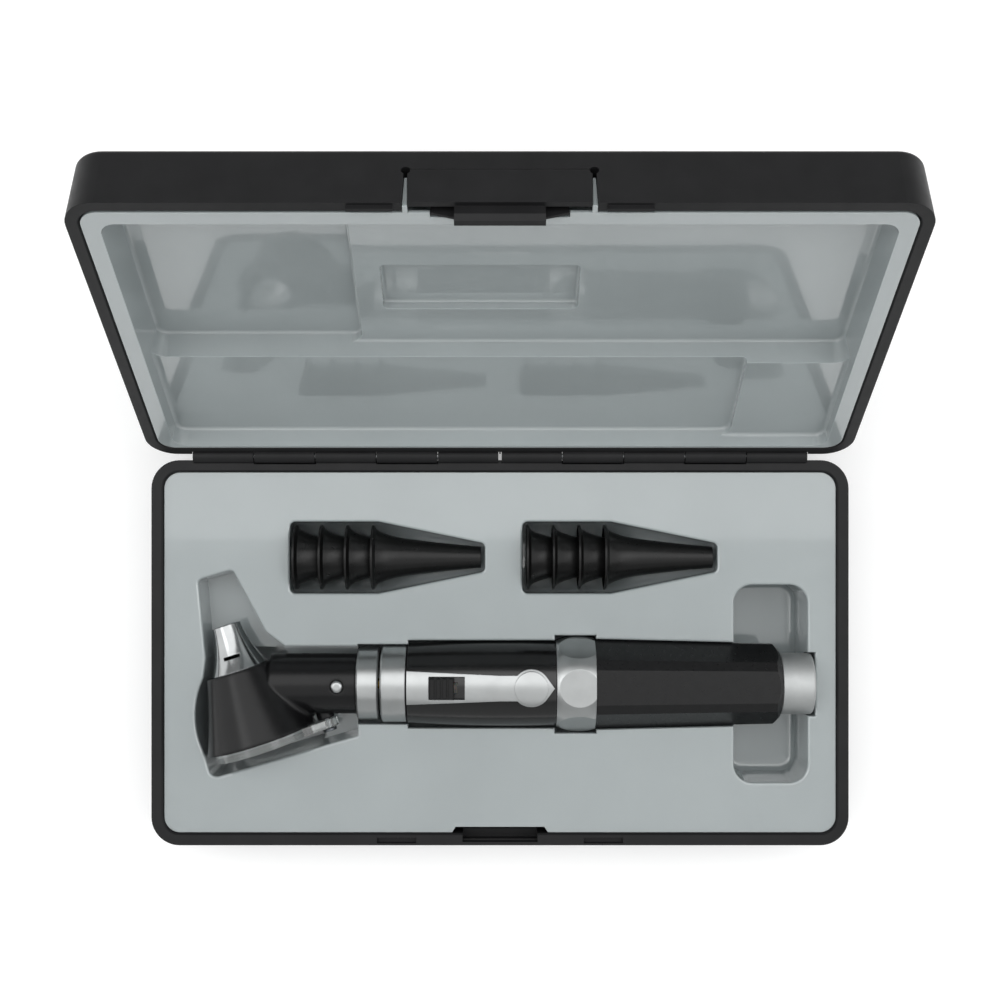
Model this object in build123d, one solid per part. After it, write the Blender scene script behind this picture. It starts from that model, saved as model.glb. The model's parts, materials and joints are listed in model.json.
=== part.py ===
from build123d import *
import math
import os

# Otoscope carry case: a two-part moulded case on a pinned hinge, with a vacuum-formed tray and lid
# lining, an otoscope lying in the tray and two nested stacks of ear specula.
# Millimetres.  Origin: centre of the case's underside.  +X right, +Y towards the hinge, +Z up.
# Lid pieces are drawn closed and then turned open about the hinge, because the lid stands open at rest.

# ---------------------------------------------------------------- case
CASE_D = 116.0             # outside depth at the parting plane
CASE_CORNER_R = 8.5        # outside corner radius in plan
LID_H = 17.3               # height of the lid, from the parting plane
RIM_W = 3.5                # wall where base and lid meet
DRAFT = 2.0                # degrees, outside walls lean in away from the parting plane
CORE_DRAFT = 0.5           # degrees, inside walls
FLOOR_T = 2.2              # base floor
PANEL_T = 2.0              # lid panel
BASE_EDGE_R = 3.0          # rounding of the base's lower edge
LID_EDGE_R = 1.6           # rounding of the lid's upper edge
RIM_BEVEL = 0.5            # small bevel inside the rim
PART_GAP = 0.05            # daylight between the closed lid and the base
ROOT = 0.5                 # how deep a rib or lip is rooted in what carries it
CUT = 1.0                  # how far a cutting shape runs past the face it cuts

# ---------------------------------------------------------------- ribs that carry tray and lining
RIB_T = 1.6                # thickness of a rib along the wall
RIB_REACH = 1.5            # how far a rib of the base stands in from the wall
LID_RIB_REACH = 0.5        # the same in the lid, behind the lining
RIBS_LONG = 4              # ribs along each long wall
RIBS_SHORT = 3             # ribs along each short wall

# ---------------------------------------------------------------- hinge
OPEN_ANGLE = 119.2         # degrees from closed to the stop
HINGE_BACK = 1.2           # pin axis behind the rear face
BARREL_R = 2.1             # outside radius of a knuckle
PIN_R = 0.75               # hinge pin
PIN_FIT = 0.05             # radial running clearance of the pin
HINGE_END = 92.2           # outer end of each hinge half from the middle
HINGE_SPLIT = 1.0          # gap between the two halves
KNUCKLES = 5               # knuckles in one half, every other one on the base
KNUCKLE_GAP = 0.3          # end play between two knuckles
SCALLOP_CLEAR = 0.3        # room round a knuckle in the opposite wall
WEB_H = 5.8                # how far a knuckle's web runs along the wall
WEB_ROOT = 1.0             # how deep the web is rooted in the wall
WEB_LEAN = 30.0            # degrees round the barrel to where the web meets it
HEEL_REACH = 4.8           # stop heel, from the pin axis
HEEL_T = 1.8               # stop heel thickness
HEEL_GAP = 0.06            # heel to rear wall at the stop

# ---------------------------------------------------------------- latch
TONGUE_X = 22.7            # middle of each slit from the case's middle
TONGUE_ROOT = 10.3         # root of the tongue above the parting plane
TONGUE_T = 1.7             # thickness of the tongue
TONGUE_LIFT = 0.2          # free edge of the tongue above the lid's rim
SLIT_RIM = 1.5             # slit width at the rim
SLIT_ROOT = 0.9            # slit width at the root
RELIEF_R = 1.15            # round end of each slit
ROOT_FIT = 0.06            # clearance round the tongue's root
HOOK_X = 10.9              # half width of the hook
HOOK_DROP = 4.5            # reach of the hook past the parting plane
HOOK_SET = 1.4             # front of the hook's shank behind the front face
HOOK_T = 1.6               # thickness of the hook's shank
HOOK_RISE = 2.4            # height of the bar that joins hook and tongue
HOOK_ROOT = 0.2            # how deep that bar is rooted in the tongue
BARB = 1.0                 # how far the barb stands forward of the shank
BARB_H = 1.7               # height of the barb
EAR_X = 16.6               # outer end of the gussets beside the hook
EAR_T = 0.7                # thickness of a gusset
EAR_DROP = 1.5             # reach of a gusset, at the hook
EAR_CLEAR = 0.2            # gusset to rim
SKIN_T = 1.0               # wall left in front of the catch slot
CATCH_CLEAR = 0.4          # hook to slot, each end
CATCH_DEPTH = 8.0          # depth of the catch slot
WINDOW_TOP = 2.4           # top of the catch window below the parting plane
WINDOW_H = 2.6             # height of the catch window
NOTCH_X = 14.6             # half width of the notch behind the catch slot
NOTCH_SLANT = 1.2          # how much narrower the notch is at its back
NOTCH_REACH = 1.85         # depth of that notch, in from the rim
FLEX_ANGLE = 4.0           # the tongue's travel, degrees
LIP_X0 = 25.6              # locating lips beside the latch, inner end
LIP_X1 = 36.7              # outer end
LIP_T = 0.9                # lip thickness
LIP_DROP = 1.2             # lip reach past the parting plane
LIP_INSET = 0.95           # lip behind the front face
LIP_CLEAR = 0.35           # lip to its groove

# ---------------------------------------------------------------- formed sheet
SHEET_T = 0.8              # tray and lining sheet
SHEET_CLEAR = 0.2          # sheet edge to case wall
END_FLANGE = 5.4           # flat of the tray beyond the end of the handle
TRAY_FOOT = 1.1            # deepest pocket of the tray above the base's floor
TRAY_SINK = 1.0            # tray surface below the parting plane
SHEET_DRAFT = 4.0          # degrees, pocket walls
LIP_R = 0.8                # rounding of a pocket's mouth
LIP_FACETS = 2             # flats that make up that rounding
REST_CLEAR = 0.3           # tool to pocket, where it lies

# ---------------------------------------------------------------- otoscope handle, along +X
TOOL_Y = -9.64             # handle axis
TOOL_SINK = 3.5            # handle axis below the parting plane
NECK_END_X = -43.05        # end of the head's neck
SEAM = 0.1                 # daylight between two turned pieces
COLLAR_LEN = 6.6           # head collar
COLLAR_R = 10.9
COLLAR_GROOVE = 0.65       # gap between the two collars
SOCKET_LEN = 7.9           # handle collar
SOCKET_R = 11.7
EDGE_R = 0.5               # small edge break of the turned metal pieces
BARREL_LEN = 44.5          # front barrel
GRIP_START_R = 12.1
GRIP_MID_R = 12.9
GRIP_END_R = 12.7
GRIP_MID_AT = 0.7          # where it is thickest, as a share of its length
TUBE_T = 1.6               # wall of barrel and collars
RING_LEN = 11.7            # centre ring
RING_R = 14.4              # at its widest
RING_R_AT = 0.55           # where that is, as a share of its length
RING_FRONT_R = 12.9        # at its front edge
RING_REAR_R = 13.6         # at its rear edge
RING_FLAT = 13.25          # flats from the axis
RING_CORNER = 15.0         # corners from the axis, before turning
SLEEVE_LEN = 55.4          # rear sleeve
SLEEVE_FLAT = 12.35        # flats from the axis, front end
SLEEVE_CORNER = 13.3       # cut corners from the axis, front end
SLEEVE_TAPER = 0.9         # rear end as a share of the front end
SIDES = 6                  # flats on sleeve and centre ring
SLEEVE_CHAMFER = 1.6
CAP_LEN = 10.0             # end cap
CAP_R = 9.25
CAP_CROWN = 0.6            # bulge of the cap's end
CAP_LEAN = 0.3             # slope of the bulge at the cap's edge

# ---------------------------------------------------------------- inside the handle
CELL_R = 7.1               # two AA cells
CELL_LEN = 49.2
CELL_NUB_R = 2.7
CELL_NUB_H = 1.0
CARRIER_T = 1.4            # wall of the tube that carries the cells
CARRIER_FIT = 0.15         # cell in carrier, and carrier in handle
SPRING_R = 5.2             # contact spring, mean radius
SPRING_WIRE_R = 0.45
SPRING_TURNS = 2.5
SPRING_LEN = 5.0
CONTACT_R = 1.6            # contact pin
CONTACT_BUSH_R = 3.4       # insulating bush round it
WEB_T = 1.6                # webs inside the collars

# ---------------------------------------------------------------- switch
PLATE_T = 0.9              # switch plate above the barrel
PLATE_W0 = 10.0            # width at the collar
PLATE_W1 = 7.6             # width at its waist
PLATE_WAIST = 27.8         # waist from the plate's front end
PAD_R = 5.6                # round pad
PAD_AT = 37.0              # pad centre from the plate's front end
PAD_TIP = 43.9             # tip of the pad from the plate's front end
PAD_RISE = 0.6             # pad above the plate
SLOT_AT = 6.6              # front end of the button's slot from the plate's front end
BUTTON_LEN = 7.3
BUTTON_W = 6.4
BUTTON_RISE = 0.9          # button above the plate
BUTTON_GROOVES = 3
GROOVE_W = 0.8
STEM = 3.0                 # square stem under the button
SWITCH_TRAVEL = 3.0
SWITCH_CLEAR = 0.2

# ---------------------------------------------------------------- otoscope head
HEAD_ANGLE = -72.3         # optical axis in plan, degrees from +X
HEAD_X = -78.9             # centre of the small end
HEAD_Y = -5.4
HEAD_LEN = 22.0
HEAD_SMALL_R = 10.6
HEAD_LARGE_R = 17.1
HEAD_WALL = 2.0
NECK_R = 9.1
NECK_BLEND_R = 1.3         # rounding where the neck runs into the head
NECK_BLEND_SHARE = 0.6     # at most this share of the room left beside the neck
NECK_LEN = 26.0            # from the neck's end into the head
NECK_BORE_R = 6.0
NECK_BORE_LEN = 16.0
CONE_BASE_R = 8.75         # polished speculum seat
CONE_TIP_R = 4.45
CONE_LEN = 14.0
CONE_WALL = 0.8
CONE_SPIGOT = 3.0          # how far the seat reaches into the head
CONE_HOLLOW = 0.8          # how far the cone's outline is drawn in at its middle
CONE_BORE_R = 5.75         # bore at the cone's base
SLOT_AROUND = 5.0          # bayonet slot
SLOT_ALONG = 1.0
SLOT_FROM_BASE = 4.0
LENS_R = 14.8
LENS_T = 2.5
LENS_GAP = 0.35            # lens to head, and pin head to lens
LENS_PIVOT = 20.5          # lens pivot from the optical axis
LENS_EAR_R = 3.3
LENS_TAIL = 0.8            # half width of the tail at the middle, as a share of the lens
PIVOT_R = 1.1
PIVOT_HEAD_R = 2.1
PIVOT_HEAD_T = 0.8
PIVOT_BOSS_R = 2.6
PIVOT_BOSS_LEN = 9.0
STUD_R = 1.95              # polished stud in the neck
STUD_X = -48.7
STUD_RISE = 0.5
STUD_ROUND = 1.2
STUD_DEPTH = 2.0
LAMP_BASE_R = 4.2
LAMP_BASE_LEN = 9.0
LAMP_BULB_R = 2.4
LAMP_BULB_LEN = 6.0

# ---------------------------------------------------------------- specula
SPEC_LEN = 33.0
SPEC_RIM_R = 9.8
SPEC_TIP_R = 3.2
SPEC_WALL = 0.5
SPEC_BAND = 0.6            # straight band at the rim
SPEC_STEP = 0.8            # slope behind the band, along the axis
SPEC_DROP = 1.4            # and across it
SPEC_FLARE_X = 3.6         # four stations of the bell, from the rim
SPEC_FLARE_R = 7.3
SPEC_WAIST_X = 8.3
SPEC_WAIST_R = 6.0
SPEC_MID_X = 14.7
SPEC_MID_R = 5.1
SPEC_FORE_X = 24.0
SPEC_FORE_R = 4.05
SPEC_PITCH = 7.8
SPEC_COUNT = 4
SPEC_Y = 28.6
SPEC_SINK = 4.6            # stack axis below the parting plane
STACK_TIPS = {"left": -5.8, "right": 64.4}

# ---------------------------------------------------------------- pockets of the tray
STACK_END_CLEAR = 1.2      # stack to the ends of its pocket
STACK_SIDE_CLEAR = 1.0     # stack to the sides of its pocket
STACK_STRAIGHT = 1.5       # straight side of the pocket past the outermost rim
STACK_CORNER_R = 1.6       # corners of the pocket in plan
RECESS_X0 = 70.6           # finger recess
RECESS_X1 = 92.9
RECESS_Y0 = -39.4
RECESS_Y1 = 20.4
RECESS_CORNER_R = 5.6
FLOOR_R = 2.0              # rounding at the foot of the finger recess
HOLLOW_REAR_Y = 1.5        # hollow for the head: its rear edge
HOLLOW_REAR_X0 = -88.6     # left end of that edge
HOLLOW_REAR_X1 = -66.5     # right end of that edge
HOLLOW_SIDE_REAR = (-89.7, -8.0)     # its bulging left side: both ends and the middle
HOLLOW_SIDE_MIDDLE = (-92.1, -18.5)
HOLLOW_SIDE_FRONT = (-89.2, -31.0)
HOLLOW_LENS_LEFT = (-87.2, -38.2)
HOLLOW_LENS_RIGHT = (-52.8, -28.1)
HOLLOW_NECK_Y = -17.0      # where its right edge turns towards the rear
HOLLOW_CORNER_R = 2.5
TROUGH_LEFT = (-91.2, 21.9)   # trough for the speculum seat, beyond the seat's tip
TROUGH_RIGHT = (-80.8, 24.9)
TROUGH_BEND = (-70.8, 6.2)    # its right edge beside the head
TROUGH_FOOT = (-63.0, 0.2)    # where that edge ends, inside the shelf
TROUGH_FRONT_Y = -6.0      # its front edge, inside the hollow
TROUGH_CORNER_R = 1.6
SHELF_X0 = -70.0           # shelf under the neck
SHELF_X1 = -42.9
SHELF_Y0 = -25.2
SHELF_Y1 = 1.8
SHELF_FRONT = (-62.0, -30.7)  # its corner beside the lens pivot
SHELF_INNER_Y = -20.0
SHELF_CORNER_R = 0.5

# ---------------------------------------------------------------- lining of the lid
LINING_SIDE = 4.5          # lining flange at the sides and front
LINING_BACK = 1.4          # lining flange at the hinge
LINING_CORNER_R = 4.0
LINING_FLOOR_R = 1.0       # rounding at the foot of each space
HEAD_ROOM = 14.1           # depth over the otoscope's head and over its switch
HANDLE_ROOM = 11.4         # depth over the handle
SPECULA_ROOM = 6.0         # depth over the specula
BLOCK_ROOM = 4.0           # depth over the right end of the specula row
STEP_Y = 15.6              # step between the specula row and the handle
HEAD_STEP_X = -37.6        # step between the head and the handle
BLOCK_X = 69.0             # left side of the shallow block
WELL_X0 = -32.5            # well over the switch
WELL_X1 = 22.0
WELL_D = 21.0
WELL_CORNER_R = 2.5

# ---------------------------------------------------------------- worked out from the above
BASE_H = FLOOR_T + TRAY_FOOT + SHEET_T + REST_CLEAR + HEAD_LARGE_R + TOOL_SINK
REAR = CASE_D / 2
FRONT = -CASE_D / 2
PIN_Y = REAR + HINGE_BACK
LID_Z = BASE_H + PART_GAP
TRAY_TOP = BASE_H - TRAY_SINK
TOOL_Z = BASE_H - TOOL_SINK
SPEC_Z = BASE_H - SPEC_SINK
SLOPE = math.tan(math.radians(DRAFT))

COLLAR_X = NECK_END_X + SEAM
SOCKET_X = COLLAR_X + COLLAR_LEN + COLLAR_GROOVE
BARREL_X = SOCKET_X + SOCKET_LEN + SEAM
RING_X = BARREL_X + BARREL_LEN + SEAM
SLEEVE_X = RING_X + RING_LEN + SEAM
CAP_X = SLEEVE_X + SLEEVE_LEN + SEAM
TOOL_END_X = CAP_X + CAP_LEN
TRAY_END_X = TOOL_END_X + CAP_CROWN + REST_CLEAR + SHEET_T + END_FLANGE
CASE_W = 2 * (TRAY_END_X + SHEET_CLEAR + RIM_W)
CARRIER_R = CELL_R + CARRIER_FIT + CARRIER_T
CARRIER_BORE_R = CARRIER_R + CARRIER_FIT
SPRING_X = CAP_X + TUBE_T - SPRING_LEN
CELL_X = SPRING_X - 2 * (CELL_LEN + CELL_NUB_H)
SLOT_LEN = BUTTON_LEN + SWITCH_TRAVEL + 2 * SWITCH_CLEAR

TOOL_PLACE = Location((0, TOOL_Y, TOOL_Z))
HEAD_PLACE = Location((HEAD_X, HEAD_Y, TOOL_Z), (0, 0, HEAD_ANGLE))
PIN_AXIS = Axis((0, PIN_Y, BASE_H), (1, 0, 0))


# ================================================================ helpers
def rounded_block(width, depth, radius, z, height, draft=0.0, centre=(0.0, 0.0)):
    """A block with round corners in plan; it narrows by the draft as it leaves z."""
    outline = Pos(centre[0], centre[1], z) * RectangleRounded(width, depth, radius)
    return extrude(outline, height, taper=draft)


def box_between(low, high):
    """An upright box from its lowest to its highest corner."""
    size = [b - a for a, b in zip(low, high)]
    middle = [(a + b) / 2 for a, b in zip(low, high)]
    return Pos(*middle) * Box(*size)


def along_x(points, x0, x1):
    """A prism along X over an outline given in Y and Z."""
    outline = make_face(Polyline(*points, close=True))
    return extrude(Plane.YZ.offset(x0) * outline, x1 - x0)


def upright(points, z0, z1, draft=0.0, corner=0.0):
    """A prism down from z1 to z0 over an outline in plan, narrowing downwards by the draft."""
    outline = make_face(Polyline(*points, close=True))
    if corner:
        outline = fillet(outline.vertices(), corner)
    return extrude(Pos(0, 0, z1) * outline, z0 - z1, taper=draft)


def rod(radius, x0, x1, y=0.0, z=0.0):
    """A cylinder along X."""
    return Pos((x0 + x1) / 2, y, z) * Rot(0, 90, 0) * Cylinder(radius, x1 - x0)


def turned(points):
    """A solid of revolution about X, from a closed outline of (x, radius) points."""
    return revolve(make_face(Polyline(*points, close=True)), Axis.X)


def sided(flat, corner, x):
    """A face across X with SIDES flats, one on top, whose corners are cut."""
    half = math.pi / SIDES
    cut = (flat - corner * math.cos(half)) / math.sin(half)
    points = []
    for side in range(SIDES):
        for way in (-1, 1):
            angle = 2 * half * side + way * math.atan2(cut, corner)
            reach = math.hypot(corner, cut)
            points.append((reach * math.cos(angle), reach * math.sin(angle)))
    return Plane.YZ.offset(x) * make_face(Polyline(*points, close=True))


def one(shape):
    """The single solid of a shape."""
    return shape.solids()[0]


def opened(shape):
    """A lid piece turned from closed to the stop."""
    return shape.rotate(PIN_AXIS, -OPEN_ANGLE)


# ================================================================ hinge
def knuckle_spans(on_base):
    """The x ranges of the knuckles on the base, or of those on the lid, in both halves."""
    pitch = (HINGE_END - HINGE_SPLIT / 2 + KNUCKLE_GAP) / KNUCKLES
    spans = []
    for index in range(KNUCKLES):
        if (index % 2 == 0) == on_base:
            start = HINGE_SPLIT / 2 + index * pitch
            end = start + pitch - KNUCKLE_GAP
            spans += [(start, end), (-end, -start)]
    return spans


def knuckle(span, side):
    """A barrel and the web that carries it; side is -1 below the parting plane and 1 above it."""
    lean = math.radians(WEB_LEAN)
    web = [
        (REAR - WEB_ROOT, BASE_H + side * PART_GAP),
        (REAR - WEB_ROOT, BASE_H + side * WEB_H),
        (REAR - WEB_H * SLOPE, BASE_H + side * WEB_H),
        (PIN_Y + BARREL_R * math.cos(lean), BASE_H + side * BARREL_R * math.sin(lean)),
        (PIN_Y, BASE_H + side * PART_GAP),
    ]
    return rod(BARREL_R, *span, PIN_Y, BASE_H) + along_x(web, *span)


def heel(span):
    """The stop on a lid knuckle, drawn where it meets the rear wall and turned back to closed."""
    face = REAR + HEEL_GAP
    outline = [
        (face, BASE_H),
        (face, BASE_H - HEEL_REACH),
        (face + HEEL_T, BASE_H - HEEL_REACH),
        (face + HEEL_T, BASE_H),
    ]
    return along_x(outline, *span).rotate(PIN_AXIS, OPEN_ANGLE)


def hinged(shell, side):
    """A shell with its knuckles on and with room for those of the other shell."""
    on_base = side < 0
    for start, end in knuckle_spans(not on_base):
        room = rod(BARREL_R + SCALLOP_CLEAR, start - KNUCKLE_GAP, end + KNUCKLE_GAP, PIN_Y, BASE_H)
        shell = shell - room
    for span in knuckle_spans(on_base):
        shell = shell + knuckle(span, side)
        if not on_base:
            shell = shell + heel(span)
    return shell - rod(PIN_R + PIN_FIT, -CASE_W, CASE_W, PIN_Y, BASE_H)


def hinge_pin(side):
    """One of the two steel pins; side is -1 for the left one."""
    inner = HINGE_SPLIT / 2 + SEAM
    outer = HINGE_END - SEAM
    low, high = sorted((side * inner, side * outer))
    return rod(PIN_R, low, high, PIN_Y, BASE_H)


# ================================================================ case shells
def ribs(z0, z1, reach):
    """Upright ribs round the inside wall, between two heights."""
    inside_x = CASE_W / 2 - RIM_W
    inside_y = CASE_D / 2 - RIM_W
    found = []
    for index in range(RIBS_LONG):
        x = (2 * index + 1 - RIBS_LONG) * inside_x / RIBS_LONG
        for way in (-1, 1):
            y = way * (inside_y - reach / 2 + RIM_W / 4)
            found.append(Pos(x, y, (z0 + z1) / 2) * Box(RIB_T, reach + RIM_W / 2, z1 - z0))
    for index in range(RIBS_SHORT):
        y = (2 * index + 1 - RIBS_SHORT) * inside_y / RIBS_SHORT
        for way in (-1, 1):
            x = way * (inside_x - reach / 2 + RIM_W / 4)
            found.append(Pos(x, y, (z0 + z1) / 2) * Box(reach + RIM_W / 2, RIB_T, z1 - z0))
    return found


def shell_inside(z, height):
    """The space inside the walls, from the parting plane, with the small bevel at its mouth."""
    width = CASE_W - 2 * RIM_W
    depth = CASE_D - 2 * RIM_W
    radius = CASE_CORNER_R - RIM_W
    way = math.copysign(1, height)
    mouth = rounded_block(
        width + 2 * RIM_BEVEL, depth + 2 * RIM_BEVEL, radius + RIM_BEVEL, z, way * RIM_BEVEL, 45
    )
    return rounded_block(width, depth, radius, z, height, CORE_DRAFT) + mouth


def latch_catch():
    """What the base gives up to the latch: slot, window, notch and the grooves for the lips."""
    reach = HOOK_X + CATCH_CLEAR
    slot = box_between(
        (-reach, FRONT + SKIN_T, BASE_H - CATCH_DEPTH),
        (reach, FRONT + RIM_W + RIB_REACH, BASE_H + CUT),
    )
    window = box_between(
        (-reach, FRONT - CUT, BASE_H - WINDOW_TOP - WINDOW_H),
        (reach, FRONT + RIM_W, BASE_H - WINDOW_TOP),
    )
    cuts = slot + window
    for way in (-1, 1):
        ends = sorted((way * (LIP_X0 - LIP_CLEAR), way * (LIP_X1 + LIP_CLEAR)))
        cuts = cuts + box_between(
            (ends[0], FRONT + LIP_INSET - LIP_CLEAR, BASE_H - LIP_DROP - LIP_CLEAR),
            (ends[1], FRONT + LIP_INSET + LIP_T + LIP_CLEAR, BASE_H + CUT),
        )
    return cuts


def base_shell():
    shell = rounded_block(CASE_W, CASE_D, CASE_CORNER_R, BASE_H, -BASE_H, DRAFT)
    shell = fillet(shell.faces().sort_by(Axis.Z)[0].edges(), BASE_EDGE_R)
    shell = shell - shell_inside(BASE_H, FLOOR_T - BASE_H)
    for rib in ribs(FLOOR_T - ROOT, TRAY_TOP - SHEET_T, RIB_REACH):
        shell = shell + rib
    return one(hinged(shell, -1) - latch_catch())


def tongue_outline(widen):
    """The tongue's outline on the front wall, in X and Z, grown by half a slit each side."""
    rim = TONGUE_X + widen * SLIT_RIM / 2
    root = TONGUE_X + widen * SLIT_ROOT / 2
    return [
        (-rim, LID_Z - CUT),
        (rim, LID_Z - CUT),
        (root, LID_Z + TONGUE_ROOT),
        (-root, LID_Z + TONGUE_ROOT),
    ]


def front_prism(points):
    """A prism through the front wall over an outline in X and Z."""
    outline = make_face(Polyline(*[(x, z) for x, z in points], close=True))
    placed = Plane((0, FRONT + RIM_W + CUT, 0), x_dir=(1, 0, 0), z_dir=(0, -1, 0)) * outline
    return extrude(placed, RIM_W + 2 * CUT)


def relief_holes():
    """The round ends of the two slits."""
    holes = []
    for way in (-1, 1):
        place = Pos(way * TONGUE_X, FRONT + RIM_W / 2, LID_Z + TONGUE_ROOT)
        holes.append(place * Rot(90, 0, 0) * Cylinder(RELIEF_R, RIM_W + 2 * CUT))
    return holes


def tongue_root_y():
    """The middle of the tongue's thickness at its root."""
    return FRONT + TONGUE_ROOT * SLOPE + TONGUE_T / 2


def lid_shell():
    shell = rounded_block(CASE_W, CASE_D, CASE_CORNER_R, LID_Z, LID_H, DRAFT)
    shell = fillet(shell.faces().sort_by(Axis.Z)[-1].edges(), LID_EDGE_R)
    shell = shell - shell_inside(LID_Z, LID_H - PANEL_T)
    for rib in ribs(LID_Z + SHEET_T, LID_Z + LID_H - PANEL_T + ROOT, LID_RIB_REACH):
        shell = shell + rib
    shell = hinged(shell, 1)
    shell = shell - front_prism(tongue_outline(1))
    reach = TONGUE_X + SLIT_ROOT / 2
    shell = shell - rod(
        TONGUE_T / 2 + ROOT_FIT, -reach, reach, tongue_root_y(), LID_Z + TONGUE_ROOT
    )
    for hole in relief_holes():
        shell = shell - hole
    for way in (-1, 1):
        ends = sorted((way * LIP_X0, way * LIP_X1))
        shell = shell + box_between(
            (ends[0], FRONT + LIP_INSET, LID_Z - LIP_DROP),
            (ends[1], FRONT + LIP_INSET + LIP_T, LID_Z + ROOT),
        )
    return one(opened(shell))


def latch_tongue():
    """The springy tongue of the lid's front wall, with the hook that snaps into the base."""
    top = LID_Z + TONGUE_ROOT
    blade = along_x(
        [
            (FRONT, LID_Z + TONGUE_LIFT),
            (FRONT + TONGUE_T, LID_Z + TONGUE_LIFT),
            (tongue_root_y() + TONGUE_T / 2, top),
            (tongue_root_y() - TONGUE_T / 2, top),
        ],
        -TONGUE_X,
        TONGUE_X,
    )
    reach = TONGUE_X - SLIT_ROOT / 2
    blade = blade & front_prism(tongue_outline(-1))
    blade = blade + rod(TONGUE_T / 2, -reach, reach, tongue_root_y(), top)
    for hole in relief_holes():
        blade = blade - hole
    shank_y = FRONT + HOOK_SET
    ear_y = FRONT + RIM_W + EAR_CLEAR
    tip = LID_Z - HOOK_DROP
    bar = box_between(
        (-HOOK_X, FRONT + TONGUE_T - HOOK_ROOT, LID_Z + TONGUE_LIFT),
        (HOOK_X, ear_y + EAR_T, LID_Z + HOOK_RISE),
    )
    shank = along_x(
        [
            (shank_y, LID_Z + HOOK_RISE),
            (shank_y, tip + BARB_H),
            (shank_y - BARB, tip + BARB_H),
            (shank_y, tip),
            (shank_y + HOOK_T, tip),
            (shank_y + HOOK_T, LID_Z + HOOK_RISE),
        ],
        -HOOK_X,
        HOOK_X,
    )
    ear = make_face(
        Polyline(
            (-EAR_X, LID_Z + HOOK_RISE),
            (-EAR_X, LID_Z),
            (-HOOK_X, LID_Z - EAR_DROP),
            (HOOK_X, LID_Z - EAR_DROP),
            (EAR_X, LID_Z),
            (EAR_X, LID_Z + HOOK_RISE),
            close=True,
        )
    )
    ears = extrude(Plane((0, ear_y + EAR_T, 0), x_dir=(1, 0, 0), z_dir=(0, -1, 0)) * ear, EAR_T)
    return one(opened(blade + bar + shank + ears))


# ================================================================ tray
def stack_outline(tip, grow):
    """Half outline of a stack's pocket, as (x, radius) about the stack's axis."""
    length = SPEC_LEN + (SPEC_COUNT - 1) * SPEC_PITCH
    wide = SPEC_RIM_R + STACK_SIDE_CLEAR + grow
    narrow = SPEC_TIP_R + STACK_SIDE_CLEAR + grow
    return [
        (tip - length - STACK_END_CLEAR - grow, wide),
        (tip - SPEC_LEN + SPEC_BAND + STACK_STRAIGHT, wide),
        (tip + STACK_END_CLEAR + grow, narrow),
    ]


def channel_outline(grow):
    """Half outline of the handle's channel, as (x, radius) about the handle's axis."""
    more = REST_CLEAR + grow
    rear = SLEEVE_CORNER * SLEEVE_TAPER
    return [
        (NECK_END_X - NECK_R / 2, NECK_R + more),
        (NECK_END_X - grow, NECK_R + more),
        (NECK_END_X - grow, SOCKET_R + more),
        (BARREL_X - grow, SOCKET_R + more),
        (BARREL_X - grow, GRIP_MID_R + more),
        (RING_X - more, GRIP_MID_R + more),
        (RING_X - more, RING_R + more),
        (SLEEVE_X + more, RING_R + more),
        (SLEEVE_X + more, SLEEVE_CORNER + more),
        (CAP_X + more, rear + more),
        (CAP_X + more, CAP_R + more),
        (TOOL_END_X + CAP_CROWN + more, CAP_R + more),
    ]


def cradle_plan(outline, y, corner=0.0):
    """The plan of a pocket round a turned piece, with rounded corners if it has any."""
    mirrored = [(x, -r) for x, r in reversed(outline)]
    plan = Pos(0, y) * make_face(Polyline(*outline, *mirrored, close=True))
    return fillet(plan.vertices(), corner) if corner else plan


def cradle(outline, y, z, corner=0.0):
    """A pocket that follows a turned piece below its axis and opens straight up to the tray's top."""
    first = outline[0][0]
    last = outline[-1][0]
    plan = cradle_plan(outline, y, corner)
    room = box_between((-CASE_W, -CASE_D, 0), (CASE_W, CASE_D, TRAY_TOP))
    if corner:
        room = extrude(plan, TRAY_TOP)
    trough = Pos(0, y, z) * turned([(first, 0), *outline, (last, 0)])
    mouth = extrude(Pos(0, 0, z) * plan, TRAY_TOP - z)
    return [trough & room, mouth]


def head_plans():
    """Plan of the hollow, the trough and the shelf round the head, each with what lies in it."""
    hollow = make_face(
        [
            ThreePointArc(HOLLOW_SIDE_REAR, HOLLOW_SIDE_MIDDLE, HOLLOW_SIDE_FRONT),
            Polyline(
                HOLLOW_SIDE_FRONT,
                HOLLOW_LENS_LEFT,
                HOLLOW_LENS_RIGHT,
                (HOLLOW_LENS_RIGHT[0], HOLLOW_NECK_Y),
                (HOLLOW_REAR_X1, HOLLOW_REAR_Y),
                (HOLLOW_REAR_X0, HOLLOW_REAR_Y),
                HOLLOW_SIDE_REAR,
            ),
        ]
    )
    trough = [
        TROUGH_LEFT,
        TROUGH_RIGHT,
        TROUGH_BEND,
        TROUGH_FOOT,
        (TROUGH_BEND[0], TROUGH_FRONT_Y),
        (HOLLOW_REAR_X0, TROUGH_FRONT_Y),
    ]
    shelf = [
        (SHELF_X0, SHELF_Y1),
        (SHELF_X1, SHELF_Y1),
        (SHELF_X1, SHELF_Y0),
        SHELF_FRONT,
        (SHELF_X0, SHELF_INNER_Y),
    ]
    trough = make_face(Polyline(*trough, close=True))
    shelf = make_face(Polyline(*shelf, close=True))
    return [
        (fillet(hollow.vertices(), HOLLOW_CORNER_R), HEAD_LARGE_R),
        (fillet(trough.vertices(), TROUGH_CORNER_R), CONE_BASE_R),
        (fillet(shelf.vertices(), SHELF_CORNER_R), NECK_R),
    ]


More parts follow.
